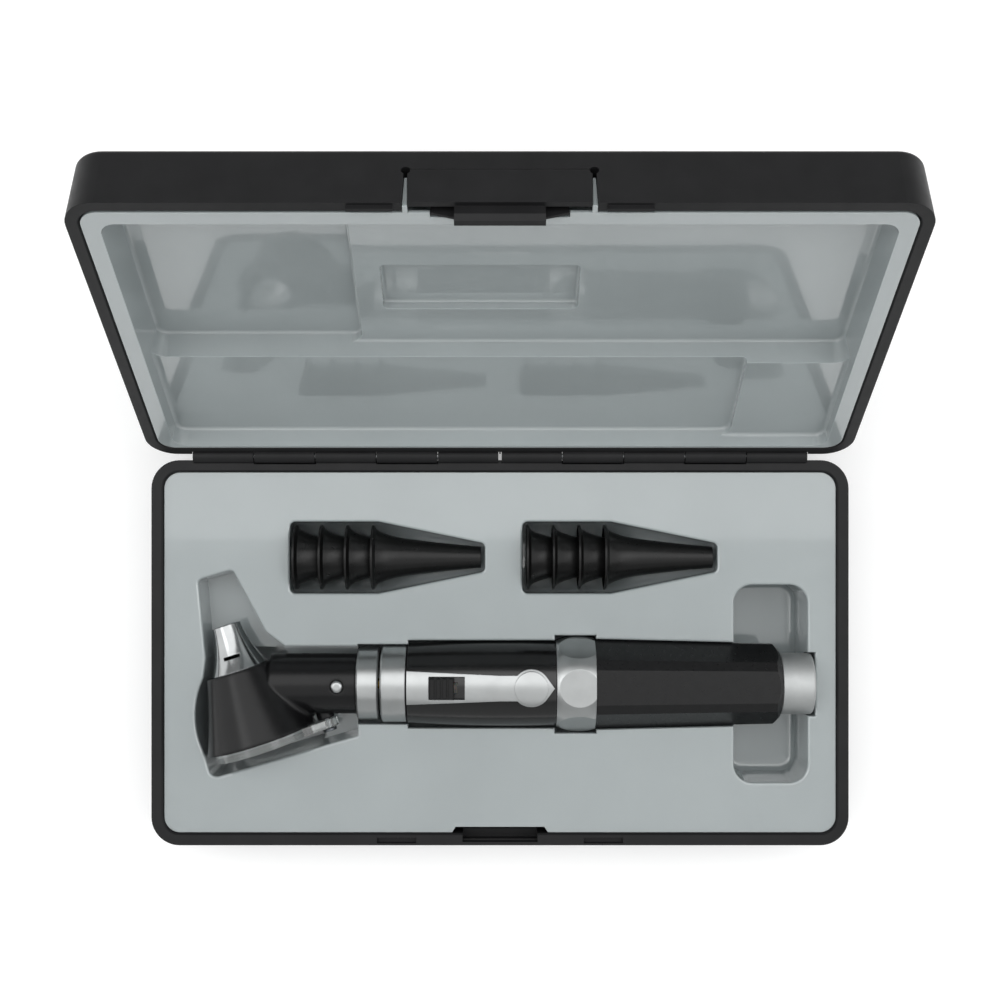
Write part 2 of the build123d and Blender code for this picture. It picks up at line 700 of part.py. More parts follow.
def head_pockets(grow):
    """The deep hollow round the head, the trough of its speculum seat and the shelf under its neck."""
    found = []
    for plan, radius in head_plans():
        floor = TOOL_Z - radius - REST_CLEAR - grow
        face = offset(plan, grow) if grow else plan
        found.append(extrude(Pos(0, 0, TRAY_TOP) * face, floor - TRAY_TOP, taper=SHEET_DRAFT))
    return found


def recess_plan():
    """The finger recess in plan."""
    width = RECESS_X1 - RECESS_X0
    depth = RECESS_Y1 - RECESS_Y0
    centre = Pos((RECESS_X0 + RECESS_X1) / 2, (RECESS_Y0 + RECESS_Y1) / 2)
    return centre * RectangleRounded(width, depth, RECESS_CORNER_R)


def finger_recess(grow):
    """The recess across the handle's rear end, for finger and thumb."""
    floor = TOOL_Z - HEAD_LARGE_R - REST_CLEAR - grow
    plan = offset(recess_plan(), grow) if grow else recess_plan()
    block = extrude(Pos(0, 0, TRAY_TOP) * plan, floor - TRAY_TOP, taper=SHEET_DRAFT / 2)
    return fillet(block.faces().sort_by(Axis.Z)[0].edges(), FLOOR_R + grow)


def pocket_mouths():
    """The plan of every pocket's mouth."""
    found = [cradle_plan(channel_outline(0), TOOL_Y), recess_plan()]
    found += [plan for plan, _ in head_plans()]
    for tip in STACK_TIPS.values():
        found.append(cradle_plan(stack_outline(tip, 0), SPEC_Y, STACK_CORNER_R))
    return found


def pockets(grow):
    """Every pocket of the tray as solids, their walls moved out by grow."""
    found = cradle(channel_outline(grow), TOOL_Y, TOOL_Z) + [finger_recess(grow)]
    found += head_pockets(grow)
    for tip in STACK_TIPS.values():
        found += cradle(stack_outline(tip, grow), SPEC_Y, SPEC_Z, STACK_CORNER_R + grow)
    return found


def sheet_plate(z, height):
    """The flat sheet that a tray or lining is formed from, trimmed to the case."""
    width = CASE_W - 2 * (RIM_W + SHEET_CLEAR)
    depth = CASE_D - 2 * (RIM_W + SHEET_CLEAR)
    return rounded_block(width, depth, CASE_CORNER_R - RIM_W - SHEET_CLEAR, z, height)


def rounded_mouth(outline, z, way):
    """The rounding of a pocket's mouth at height z, as flats that touch the true arc."""
    step = math.pi / 2 / LIP_FACETS
    cuts = []
    for index in range(LIP_FACETS):
        lean = step * (index + 0.5)
        cut = LIP_R * (math.sin(lean) + math.cos(lean) - 1)
        face = Pos(0, 0, z) * offset(outline, cut / math.cos(lean))
        cuts.append(extrude(face, way * cut / math.sin(lean), taper=math.degrees(lean)))
    return cuts


def tray_insert():
    sheet = sheet_plate(TRAY_TOP - SHEET_T, SHEET_T)
    for pocket in pockets(SHEET_T):
        sheet = sheet + pocket
    for pocket in pockets(0):
        sheet = sheet - pocket
    for plan in pocket_mouths():
        for cut in rounded_mouth(plan, TRAY_TOP, -1):
            sheet = sheet - cut
    inner = FRONT + RIM_W + NOTCH_REACH
    outer = FRONT + RIM_W
    notch = [
        (-NOTCH_X, outer - CUT),
        (NOTCH_X, outer - CUT),
        (NOTCH_X, outer),
        (NOTCH_X - NOTCH_SLANT, inner),
        (NOTCH_SLANT - NOTCH_X, inner),
        (-NOTCH_X, outer),
    ]
    return one(sheet - upright(notch, TRAY_TOP - SHEET_T - CUT, TRAY_TOP + CUT))


# ================================================================ lining
def lining_block(x0, x1, y0, y1, depth, radius, grow):
    """One of the stepped spaces in the lining, as a block with draft and a rounded foot."""
    centre = ((x0 + x1) / 2, (y0 + y1) / 2)
    width = x1 - x0 + 2 * grow
    length = y1 - y0 + 2 * grow
    block = rounded_block(width, length, radius + grow, LID_Z, depth + grow, SHEET_DRAFT, centre)
    return fillet(block.faces().sort_by(Axis.Z)[-1].edges(), LINING_FLOOR_R + grow)


def lining_spaces(grow):
    """The rooms that the lining leaves over head, handle, switch and specula."""
    side = CASE_W / 2 - RIM_W - LINING_SIDE
    front = FRONT + RIM_W + LINING_SIDE
    back = REAR - RIM_W - LINING_BACK
    overlap = 2 * LINING_CORNER_R
    well_y = TOOL_Y - WELL_D / 2
    return [
        lining_block(-side, HEAD_STEP_X, front, STEP_Y, HEAD_ROOM, LINING_CORNER_R, grow),
        lining_block(HEAD_STEP_X - overlap, side, front, STEP_Y, HANDLE_ROOM, LINING_CORNER_R, grow),
        lining_block(-side, side, STEP_Y - overlap, back, BLOCK_ROOM, LINING_CORNER_R, grow),
        lining_block(-side, BLOCK_X, STEP_Y - overlap, back, SPECULA_ROOM, LINING_CORNER_R, grow),
        lining_block(WELL_X0, WELL_X1, well_y, well_y + WELL_D, HEAD_ROOM, WELL_CORNER_R, grow),
    ]


def lid_lining():
    sheet = sheet_plate(LID_Z, SHEET_T)
    for space in lining_spaces(SHEET_T):
        sheet = sheet + space
    for space in lining_spaces(0):
        sheet = sheet - space
    for space in lining_spaces(0):
        rim = Pos(0, 0, -LID_Z) * space.faces().sort_by(Axis.Z)[0]
        for cut in rounded_mouth(rim, LID_Z, 1):
            sheet = sheet - cut
    swing = HOOK_DROP + TONGUE_ROOT
    room = swing * math.sin(math.radians(FLEX_ANGLE))
    notch = box_between(
        (-EAR_X - EAR_CLEAR, FRONT, LID_Z - CUT),
        (EAR_X + EAR_CLEAR, FRONT + RIM_W + EAR_CLEAR + EAR_T + room, LID_Z + SHEET_T + CUT),
    )
    return one(opened(sheet - notch))


# ================================================================ otoscope handle
def collar(x, length, radius, web_bore):
    """A polished collar with a web that carries the contact or the lamp."""
    tube = turned(
        [
            (x, radius - TUBE_T),
            (x, radius - EDGE_R),
            (x + EDGE_R, radius),
            (x + length - EDGE_R, radius),
            (x + length, radius - EDGE_R),
            (x + length, radius - TUBE_T),
        ]
    )
    web = rod(radius - TUBE_T + SEAM, x, x + WEB_T) - rod(web_bore, x - CUT, x + WEB_T + CUT)
    return tube + web


def head_collar():
    return one(TOOL_PLACE * collar(COLLAR_X, COLLAR_LEN, COLLAR_R, LAMP_BASE_R + PIN_FIT))


def handle_collar():
    return one(TOOL_PLACE * collar(SOCKET_X, SOCKET_LEN, SOCKET_R, CONTACT_BUSH_R + PIN_FIT))


def grip_curve(rise):
    """The swelling outline of the front barrel, raised by rise."""
    return Spline(
        (BARREL_X, GRIP_START_R + rise),
        (BARREL_X + BARREL_LEN * GRIP_MID_AT, GRIP_MID_R + rise),
        (BARREL_X + BARREL_LEN, GRIP_END_R + rise),
    )


def grip_solid(rise):
    """The front barrel as a solid of revolution, raised by rise."""
    end = BARREL_X + BARREL_LEN
    outline = [
        grip_curve(rise),
        Polyline((end, GRIP_END_R + rise), (end, 0), (BARREL_X, 0), (BARREL_X, GRIP_START_R + rise)),
    ]
    return revolve(make_face(outline), Axis.X)


def front_barrel():
    barrel = grip_solid(0) - rod(GRIP_START_R - TUBE_T, BARREL_X - CUT, BARREL_X + BARREL_LEN + CUT)
    slot_x = BARREL_X + SLOT_AT + SWITCH_CLEAR + (BUTTON_LEN - STEM) / 2
    slot = box_between(
        (slot_x - SWITCH_CLEAR, -STEM / 2 - SWITCH_CLEAR, 0),
        (slot_x + STEM + SWITCH_TRAVEL + SWITCH_CLEAR, STEM / 2 + SWITCH_CLEAR, GRIP_MID_R + CUT),
    )
    return one(TOOL_PLACE * (barrel - slot))


def plate_outline():
    """The switch plate in plan: a strip that narrows to a waist and ends in a round pad with a tip."""
    strip = make_face(
        Polyline(
            (BARREL_X, -PLATE_W0 / 2),
            (BARREL_X + PLATE_WAIST, -PLATE_W1 / 2),
            (BARREL_X + PAD_AT, -PLATE_W1 / 2),
            (BARREL_X + PAD_AT, PLATE_W1 / 2),
            (BARREL_X + PLATE_WAIST, PLATE_W1 / 2),
            (BARREL_X, PLATE_W0 / 2),
            close=True,
        )
    )
    pad = Pos(BARREL_X + PAD_AT, 0) * Circle(PAD_R)
    reach = PAD_TIP - PAD_AT
    lean = math.acos(PAD_R / reach)
    touch_x = BARREL_X + PAD_AT + PAD_R * math.cos(lean)
    touch_y = PAD_R * math.sin(lean)
    tip = make_face(
        Polyline((touch_x, -touch_y), (BARREL_X + PAD_TIP, 0), (touch_x, touch_y), close=True)
    )
    return strip + pad + tip


def switch_plate():
    prism = extrude(plate_outline(), GRIP_MID_R + PLATE_T + PAD_RISE)
    plate = prism & (grip_solid(PLATE_T) - grip_solid(SEAM))
    dome = extrude(Pos(BARREL_X + PAD_AT, 0) * Circle(PAD_R - PAD_RISE), GRIP_MID_R + PLATE_T + PAD_RISE)
    pad = dome & (grip_solid(PLATE_T + PAD_RISE) - grip_solid(SEAM))
    slot = box_between(
        (BARREL_X + SLOT_AT, -BUTTON_W / 2 - SWITCH_CLEAR, 0),
        (BARREL_X + SLOT_AT + SLOT_LEN, BUTTON_W / 2 + SWITCH_CLEAR, GRIP_MID_R + PLATE_T + CUT),
    )
    return one(TOOL_PLACE * (plate + pad - slot))


def switch_button():
    x0 = BARREL_X + SLOT_AT + SWITCH_CLEAR
    low = GRIP_MID_R + SEAM
    top = GRIP_MID_R + PLATE_T + BUTTON_RISE
    thumb = box_between((x0, -BUTTON_W / 2, low), (x0 + BUTTON_LEN, BUTTON_W / 2, top))
    thumb = chamfer(thumb.faces().sort_by(Axis.Z)[-1].edges(), GROOVE_W / 2)
    for index in range(BUTTON_GROOVES):
        x = x0 + (index + 1) * BUTTON_LEN / (BUTTON_GROOVES + 1)
        thumb = thumb - Pos(x, 0, top) * Box(GROOVE_W, BUTTON_W, GROOVE_W)
    stem_x = x0 + (BUTTON_LEN - STEM) / 2
    stem = box_between((stem_x, -STEM / 2, CARRIER_R + SWITCH_CLEAR), (stem_x + STEM, STEM / 2, low + SEAM))
    return one(TOOL_PLACE * (thumb + stem))


def centre_ring():
    end = RING_X + RING_LEN
    outline = [
        Polyline((RING_X, RING_FRONT_R), (RING_X, 0), (end, 0), (end, RING_REAR_R)),
        ThreePointArc(
            (end, RING_REAR_R), (RING_X + RING_LEN * RING_R_AT, RING_R), (RING_X, RING_FRONT_R)
        ),
    ]
    ring = revolve(make_face(outline), Axis.X)
    ring = ring & extrude(sided(RING_FLAT, RING_CORNER, RING_X), RING_LEN)
    return one(TOOL_PLACE * (ring - rod(CARRIER_BORE_R, RING_X - CUT, end + CUT)))


def rear_sleeve():
    end = SLEEVE_X + SLEEVE_LEN
    front = sided(SLEEVE_FLAT, SLEEVE_CORNER, SLEEVE_X)
    rear = sided(SLEEVE_FLAT * SLEEVE_TAPER, SLEEVE_CORNER * SLEEVE_TAPER, end)
    sleeve = loft([front, rear])
    reach = SLEEVE_CORNER * SLEEVE_TAPER
    shoulder = turned(
        [
            (SLEEVE_X, 0),
            (SLEEVE_X, RING_R),
            (end - SLEEVE_CHAMFER, RING_R),
            (end - SLEEVE_CHAMFER, reach),
            (end, reach - SLEEVE_CHAMFER),
            (end, 0),
        ]
    )
    sleeve = sleeve & shoulder
    return one(TOOL_PLACE * (sleeve - rod(CARRIER_BORE_R, SLEEVE_X - CUT, end + CUT)))


def end_cap():
    end = CAP_X + CAP_LEN
    outline = [
        Polyline(
            (end, CAP_R - EDGE_R),
            (end - EDGE_R, CAP_R),
            (CAP_X + EDGE_R, CAP_R),
            (CAP_X, CAP_R - EDGE_R),
            (CAP_X, CAP_R - TUBE_T),
            (CAP_X + TUBE_T, CAP_R - TUBE_T),
            (CAP_X + TUBE_T, 0),
            (end + CAP_CROWN, 0),
        ),
        Spline((end + CAP_CROWN, 0), (end, CAP_R - EDGE_R), tangents=((0, 1), (-CAP_LEAN, 1))),
    ]
    return one(TOOL_PLACE * revolve(make_face(outline), Axis.X))


# ================================================================ inside the handle
def battery_carrier():
    start = CELL_X - CARRIER_T
    end = SLEEVE_X + SLEEVE_LEN - SLEEVE_CHAMFER
    tube = rod(CARRIER_R, start, end) - rod(CELL_R + CARRIER_FIT, CELL_X, end + CUT)
    return one(TOOL_PLACE * (tube - rod(CONTACT_BUSH_R, start - CUT, CELL_X + CUT)))


def cell(index):
    """A cell lying with its nub towards the head."""
    x = CELL_X + index * (CELL_LEN + CELL_NUB_H)
    nub = rod(CELL_NUB_R, x, x + CELL_NUB_H)
    can = rod(CELL_R, x + CELL_NUB_H, x + CELL_NUB_H + CELL_LEN)
    return one(TOOL_PLACE * (nub + can))


def battery_spring():
    """The cap's contact spring, pressed against the rear cell."""
    length = SPRING_LEN - 2 * SPRING_WIRE_R - SEAM
    coil = Helix(length / SPRING_TURNS, length, SPRING_R)
    section = Plane(coil @ 0, z_dir=coil % 0) * Circle(SPRING_WIRE_R)
    wire = sweep(section, coil, is_frenet=True)
    start = SPRING_X + SPRING_WIRE_R
    return one(TOOL_PLACE * (Pos(start, 0, 0) * Rot(0, 90, 0) * wire))


def contact_bush():
    start = SOCKET_X - COLLAR_GROOVE / 2
    end = CELL_X - CARRIER_T - SEAM
    bush = rod(CONTACT_BUSH_R, start, end) - rod(CONTACT_R + PIN_FIT, start - CUT, end + CUT)
    return one(TOOL_PLACE * bush)


def contact_pin():
    start = COLLAR_X + LAMP_BASE_LEN / 2 + SEAM
    return one(TOOL_PLACE * rod(CONTACT_R, start, CELL_X - SEAM))


# ================================================================ otoscope head
def neck_rod(radius, length):
    """A rod from the neck's end back towards the head."""
    return Pos(0, TOOL_Y, TOOL_Z) * rod(radius, NECK_END_X - length, NECK_END_X)


def head_housing():
    body = turned([(0, 0), (0, HEAD_SMALL_R), (HEAD_LEN, HEAD_LARGE_R), (HEAD_LEN, 0)])
    boss = rod(PIVOT_BOSS_R, HEAD_LEN - PIVOT_BOSS_LEN, HEAD_LEN, LENS_PIVOT)
    body = HEAD_PLACE * body + neck_rod(NECK_R, NECK_LEN)
    turn = math.radians(HEAD_ANGLE)
    corner_y = HEAD_Y + HEAD_LEN * math.sin(turn) + HEAD_LARGE_R * math.cos(turn)
    beside = TOOL_Y - NECK_R - corner_y
    seam = [edge for edge in body.edges() if edge.geom_type == GeomType.BSPLINE]
    body = fillet(seam, min(NECK_BLEND_R, NECK_BLEND_SHARE * beside)) + HEAD_PLACE * boss
    room = turned(
        [
            (-CUT, 0),
            (-CUT, CONE_BASE_R - CONE_WALL - EDGE_R),
            (CONE_SPIGOT, CONE_BASE_R - CONE_WALL - EDGE_R),
            (CONE_SPIGOT, HEAD_SMALL_R - HEAD_WALL),
            (HEAD_LEN + CUT, HEAD_LARGE_R - HEAD_WALL),
            (HEAD_LEN + CUT, 0),
        ]
    )
    body = body - HEAD_PLACE * room - neck_rod(NECK_BORE_R, NECK_BORE_LEN)
    body = body - HEAD_PLACE * rod(PIVOT_R + PIN_FIT, 0, HEAD_LEN + CUT, LENS_PIVOT)
    swing = box_between(
        (HEAD_LEN, LENS_PIVOT - 2 * LENS_EAR_R, -LENS_R),
        (HEAD_LEN + LENS_T + 4 * LENS_GAP, LENS_PIVOT + LENS_EAR_R + 2 * LENS_GAP, LENS_R),
    )
    stud_hole = Pos(STUD_X, TOOL_Y, TOOL_Z + NECK_R) * Cylinder(STUD_R + PIN_FIT, 2 * STUD_DEPTH)
    return one(body - HEAD_PLACE * swing - stud_hole)


def speculum_seat():
    """The polished concave cone that a speculum is pushed onto."""
    middle = -CONE_LEN / 2
    waist = (CONE_BASE_R + CONE_TIP_R) / 2 - CONE_HOLLOW
    tip = -CONE_LEN
    outline = [
        Spline((-SEAM, CONE_BASE_R), (middle, waist), (tip, CONE_TIP_R)),
        Line((tip, CONE_TIP_R), (tip, CONE_TIP_R - CONE_WALL)),
        Spline((tip, CONE_TIP_R - CONE_WALL), (middle, waist - CONE_WALL), (-SEAM, CONE_BORE_R)),
        Line((-SEAM, CONE_BORE_R), (-SEAM, CONE_BASE_R)),
    ]
    seat = revolve(make_face(outline), Axis.X)
    spigot = rod(CONE_BASE_R - CONE_WALL - EDGE_R - PIN_FIT, -SEAM, CONE_SPIGOT)
    seat = seat + (spigot - rod(CONE_BORE_R, -CUT, CONE_SPIGOT + CUT))
    slot = box_between(
        (-SLOT_FROM_BASE - SLOT_ALONG, -SLOT_AROUND / 2, 0),
        (-SLOT_FROM_BASE, SLOT_AROUND / 2, CONE_BASE_R + CUT),
    )
    return one(HEAD_PLACE * (seat - slot))


def lens():
    """The clear magnifier: a disc with a tail to its pivot."""
    x0 = HEAD_LEN + LENS_GAP
    disc = Circle(LENS_R)
    tail = make_face(
        Polyline(
            (0, -LENS_R * LENS_TAIL),
            (LENS_PIVOT, -LENS_EAR_R),
            (LENS_PIVOT, LENS_EAR_R),
            (0, LENS_R * LENS_TAIL),
            close=True,
        )
    )
    ear = Pos(LENS_PIVOT, 0) * Circle(LENS_EAR_R)
    outline = disc + tail + ear - Pos(LENS_PIVOT, 0) * Circle(PIVOT_R + PIN_FIT)
    return one(HEAD_PLACE * extrude(Plane.YZ.offset(x0) * outline, LENS_T))


def lens_pivot():
    """The headed pin that the lens turns on."""
    head_x = HEAD_LEN + LENS_T + 2 * LENS_GAP
    shank = rod(PIVOT_R, HEAD_LEN - PIVOT_BOSS_LEN + CUT, head_x, LENS_PIVOT)
    cap = rod(PIVOT_HEAD_R, head_x, head_x + PIVOT_HEAD_T, LENS_PIVOT)
    return one(HEAD_PLACE * (shank + cap))


def neck_stud():
    top = TOOL_Z + NECK_R + STUD_RISE
    stud = Pos(STUD_X, TOOL_Y, top - STUD_DEPTH / 2) * Cylinder(STUD_R, STUD_DEPTH)
    return one(fillet(stud.faces().sort_by(Axis.Z)[-1].edges(), STUD_ROUND))


def lamp():
    base_x = COLLAR_X + WEB_T + SEAM - LAMP_BASE_LEN / 2
    outline = [
        Polyline(
            (base_x - LAMP_BULB_LEN, 0),
            (COLLAR_X + LAMP_BASE_LEN / 2, 0),
            (COLLAR_X + LAMP_BASE_LEN / 2, LAMP_BASE_R),
            (base_x, LAMP_BASE_R),
            (base_x, LAMP_BULB_R),
            (base_x - LAMP_BULB_LEN + LAMP_BULB_R, LAMP_BULB_R),
        ),
        RadiusArc(
            (base_x - LAMP_BULB_LEN + LAMP_BULB_R, LAMP_BULB_R),
            (base_x - LAMP_BULB_LEN, 0),
            -LAMP_BULB_R,
        ),
    ]
    return one(TOOL_PLACE * revolve(make_face(outline), Axis.X))


# ================================================================ specula
def bell(shrink):
    """The outside of a speculum from rim to tip, or its inside when shrunk by the wall."""
    return [
        (0, SPEC_RIM_R - shrink),
        (SPEC_BAND, SPEC_RIM_R - shrink),
        (SPEC_BAND + SPEC_STEP, SPEC_RIM_R - SPEC_DROP - shrink),
        (SPEC_FLARE_X, SPEC_FLARE_R - shrink),
        (SPEC_WAIST_X, SPEC_WAIST_R - shrink),
        (SPEC_MID_X, SPEC_MID_R - shrink),
        (SPEC_FORE_X, SPEC_FORE_R - shrink),
        (SPEC_LEN, SPEC_TIP_R - shrink),
    ]


def speculum(tip, index):
    """One speculum of a stack; index 0 is the outermost, with the free tip."""
    x = tip - SPEC_LEN - index * SPEC_PITCH
    outer = bell(0)
    inner = bell(SPEC_WALL)
    outline = [
        Polyline(*outer[:3]),
        Spline(*outer[2:]),
        Line(outer[-1], inner[-1]),
        Spline(*reversed(inner[2:])),
        Polyline(inner[2], inner[1], inner[0], outer[0]),
    ]
    return one(Location((x, SPEC_Y, SPEC_Z)) * revolve(make_face(outline), Axis.X))


# ================================================================ all pieces
def pieces():
    """Every piece of the case and of what lies in it, by name."""
    found = {
        "base_shell": base_shell(),
        "lid_shell": lid_shell(),
        "latch_tongue": latch_tongue(),
        "hinge_pin_left": hinge_pin(-1),
        "hinge_pin_right": hinge_pin(1),
        "tray_insert": tray_insert(),
        "lid_lining": lid_lining(),
        "head_housing": head_housing(),
        "speculum_seat": speculum_seat(),
        "viewing_lens": lens(),
        "lens_pivot": lens_pivot(),
        "neck_stud": neck_stud(),
        "lamp": lamp(),
        "head_collar": head_collar(),
        "handle_collar": handle_collar(),
        "contact_bush": contact_bush(),
        "contact_pin": contact_pin(),
        "front_barrel": front_barrel(),
        "switch_plate": switch_plate(),
        "switch_button": switch_button(),
        "centre_ring": centre_ring(),
        "rear_sleeve": rear_sleeve(),
        "battery_carrier": battery_carrier(),
        "battery_front": cell(0),
        "battery_rear": cell(1),
        "battery_spring": battery_spring(),
        "end_cap": end_cap(),
    }
    for side, tip in STACK_TIPS.items():
        for index in range(SPEC_COUNT):
            found[f"speculum_{side}_{index + 1}"] = speculum(tip, index)
    return found


os.makedirs("parts", exist_ok=True)
for name, piece in pieces().items():
    export_step(piece, f"parts/{name}.step")
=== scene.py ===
import json
import math
import bmesh
import bpy
from mathutils import Matrix, Vector


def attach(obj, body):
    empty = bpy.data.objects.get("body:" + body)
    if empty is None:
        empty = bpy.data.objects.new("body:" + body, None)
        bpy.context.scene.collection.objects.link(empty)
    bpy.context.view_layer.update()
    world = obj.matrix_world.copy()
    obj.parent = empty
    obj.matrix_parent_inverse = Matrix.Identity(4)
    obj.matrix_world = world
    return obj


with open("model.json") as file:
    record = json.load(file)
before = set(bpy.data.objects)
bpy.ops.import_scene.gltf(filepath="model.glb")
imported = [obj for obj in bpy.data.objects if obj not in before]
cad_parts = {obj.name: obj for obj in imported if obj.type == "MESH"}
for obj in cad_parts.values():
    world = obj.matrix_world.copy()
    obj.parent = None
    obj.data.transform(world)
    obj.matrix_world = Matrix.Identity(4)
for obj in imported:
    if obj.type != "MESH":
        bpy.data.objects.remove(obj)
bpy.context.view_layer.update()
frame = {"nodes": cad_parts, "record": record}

MM = 0.001
NOISE_LOW, NOISE_HIGH = 0.3, 0.7    # nearly all of a noise pattern lies between these


# ---------------------------------------------------------------- finishes
def linear(code):
    """An sRGB hex colour as linear RGBA."""
    parts = [int(code[i:i + 2], 16) / 255 for i in (1, 3, 5)]
    return [p / 12.92 if p <= 0.04045 else ((p + 0.055) / 1.055) ** 2.4 for p in parts] + [1.0]


def add(tree, kind, values=None, links=None, **settings):
    """A node with its settings, socket values and links."""
    made = tree.nodes.new("ShaderNode" + kind)
    for name, value in settings.items():
        setattr(made, name, value)
    for name, value in (values or {}).items():
        made.inputs[name].default_value = value
    for name, socket in (links or {}).items():
        tree.links.new(socket, made.inputs[name])
    return made


def finish(name, values):
    """A material with one surface shader; returns it, its tree, its shader and its coordinates."""
    material = bpy.data.materials.new(name)
    material.use_nodes = True
    tree = material.node_tree
    tree.nodes.clear()
    shader = add(tree, "BsdfPrincipled", values)
    add(tree, "OutputMaterial", links={"Surface": shader.outputs["BSDF"]})
    where = add(tree, "TexCoord").outputs["Object"]
    return material, tree, shader, where


def speckle(tree, where, size_mm, detail=2.0):
    """Noise whose spots are about size_mm across."""
    values = {"Scale": 1 / (size_mm * MM), "Detail": detail}
    return add(tree, "TexNoise", values, {"Vector": where}).outputs["Fac"]


def shine(tree, shader, factor, low, high):
    """Lets the roughness drift between two values."""
    values = {"From Min": NOISE_LOW, "From Max": NOISE_HIGH, "To Min": low, "To Max": high}
    drift = add(tree, "MapRange", values, {"Value": factor})
    tree.links.new(drift.outputs["Result"], shader.inputs["Roughness"])


def relief(tree, shader, height, depth_mm, strength, edge_mm=0.25):
    """Raises the surface by a height pattern, and breaks every edge by a small radius."""
    soft = add(tree, "Bevel", {"Radius": edge_mm * MM}, samples=4)
    bump = add(
        tree, "Bump", {"Strength": strength, "Distance": depth_mm * MM},
        {"Height": height, "Normal": soft.outputs["Normal"]},
    )
    tree.links.new(bump.outputs["Normal"], shader.inputs["Normal"])


def shade(tree, shader, factor, dark, light):
    """Lets the colour drift between two tones."""
    ramp = add(tree, "ValToRGB", links={"Fac": factor})
    ramp.color_ramp.elements[0].position = NOISE_LOW
    ramp.color_ramp.elements[0].color = linear(dark)
    ramp.color_ramp.elements[1].position = NOISE_HIGH
    ramp.color_ramp.elements[1].color = linear(light)
    tree.links.new(ramp.outputs["Color"], shader.inputs["Base Color"])


def grained_abs():
    """Black ABS from a spark-eroded mould: satin, with a fine grain that breaks up the highlights."""
    material, tree, shader, where = finish("grained_black_abs", {"IOR": 1.53, "Specular IOR Level": 0.18})
    shade(tree, shader, speckle(tree, where, 9), "#1a1a1b", "#1e1e1f")
    shine(tree, shader, speckle(tree, where, 2.5), 0.42, 0.48)
    relief(tree, shader, speckle(tree, where, 0.5, 3.0), 0.006, 0.6)
    return material


def formed_polystyrene():
    """Vacuum-formed grey polystyrene with a gloss cap layer: it mirrors what lies near, a little wavily."""
    # The thin sheet passes a little light on inside itself, which lifts its narrow gaps.
    material, tree, shader, where = finish(
        "formed_grey_polystyrene",
        {"IOR": 1.59, "Coat Weight": 1.0, "Coat Roughness": 0.03, "Coat IOR": 1.5,
         "Subsurface Weight": 0.6, "Subsurface Radius": (1.0, 1.0, 1.0), "Subsurface Scale": 1.2 * MM},
    )
    shade(tree, shader, speckle(tree, where, 45), "#969d9e", "#9ca3a4")
    shine(tree, shader, speckle(tree, where, 6), 0.09, 0.15)
    relief(tree, shader, speckle(tree, where, 14), 0.03, 0.3)
    return material


def turned_chrome():
    """Chrome on turned brass: bright bands along the axis, softened by fine rings left by the lathe."""
    material, tree, shader, where = finish("turned_satin_chrome", {"Metallic": 1.0})
    shade(tree, shader, speckle(tree, where, 5), "#a8aaaa", "#afb1b1")
    shine(tree, shader, speckle(tree, where, 3), 0.28, 0.32)
    ring_pitch = 0.9 * MM    # the real rings are finer and would not show
    rings = add(
        tree, "TexWave", {"Scale": 1 / (ring_pitch * 2 * math.pi), "Distortion": 0.4},
        {"Vector": where}, wave_type="BANDS", bands_direction="X",
    )
    relief(tree, shader, rings.outputs["Fac"], 0.0005, 0.3)
    return material


def blasted_chrome():
    """Chrome over a bead-blasted cap: one broad soft highlight that fades evenly round it."""
    material, tree, shader, where = finish("blasted_chrome", {"Metallic": 1.0})
    shade(tree, shader, speckle(tree, where, 5), "#b4b6b6", "#bcbebe")
    shine(tree, shader, speckle(tree, where, 2), 0.54, 0.6)
    relief(tree, shader, speckle(tree, where, 0.4, 3.0), 0.002, 0.4)
    return material


def blackened_steel():
    """Chemically blackened steel on the small lens pin: dark, with a dull metallic glint."""
    material, tree, shader, where = finish("blackened_steel", {"Metallic": 1.0})
    shade(tree, shader, speckle(tree, where, 1), "#54575a", "#616467")
    shine(tree, shader, speckle(tree, where, 0.5), 0.3, 0.4)
    relief(tree, shader, speckle(tree, where, 0.3), 0.002, 0.4)
    return material


def polished_chrome():
    """Polished chrome on the speculum seat: dark and bright stripes with clear edges."""
    material, tree, shader, where = finish("polished_chrome", {"Metallic": 1.0})
    shade(tree, shader, speckle(tree, where, 7), "#a4a6a7", "#aeb0b0")
    shine(tree, shader, speckle(tree, where, 2.0), 0.14, 0.18)
    relief(tree, shader, speckle(tree, where, 3.0), 0.006, 0.4)
    return material


def satin_abs():
    """Black ABS from a satin mould, on the head: one soft dim highlight, and edges that run together."""
    material, tree, shader, where = finish("satin_black_abs", {"IOR": 1.53, "Specular IOR Level": 0.25})
    shade(tree, shader, speckle(tree, where, 8), "#0e0e0f", "#121213")
    shine(tree, shader, speckle(tree, where, 1.5), 0.2, 0.25)
    relief(tree, shader, speckle(tree, where, 2.5), 0.0006, 0.3, edge_mm=1.2)
    return material


def smooth_abs():
    """Black ABS from a polished mould: a soft clear shine on the front barrel."""
    material, tree, shader, where = finish("smooth_black_abs", {"IOR": 1.53})
    shade(tree, shader, speckle(tree, where, 8), "#060607", "#090909")
    shine(tree, shader, speckle(tree, where, 1.5), 0.17, 0.22)
    relief(tree, shader, speckle(tree, where, 2.5), 0.001, 0.3)
    return material


def satin_nylon():
    """Black glass-filled nylon: a flat satin skin with the fibre just showing, on the rear sleeve."""
    material, tree, shader, where = finish("satin_black_nylon", {"IOR": 1.53, "Specular IOR Level": 0.29})
    shade(tree, shader, speckle(tree, where, 3), "#0c0c0d", "#101011")
    shine(tree, shader, speckle(tree, where, 0.9), 0.27, 0.33)
    relief(tree, shader, speckle(tree, where, 0.7, 3.0), 0.003, 0.5)
    return material


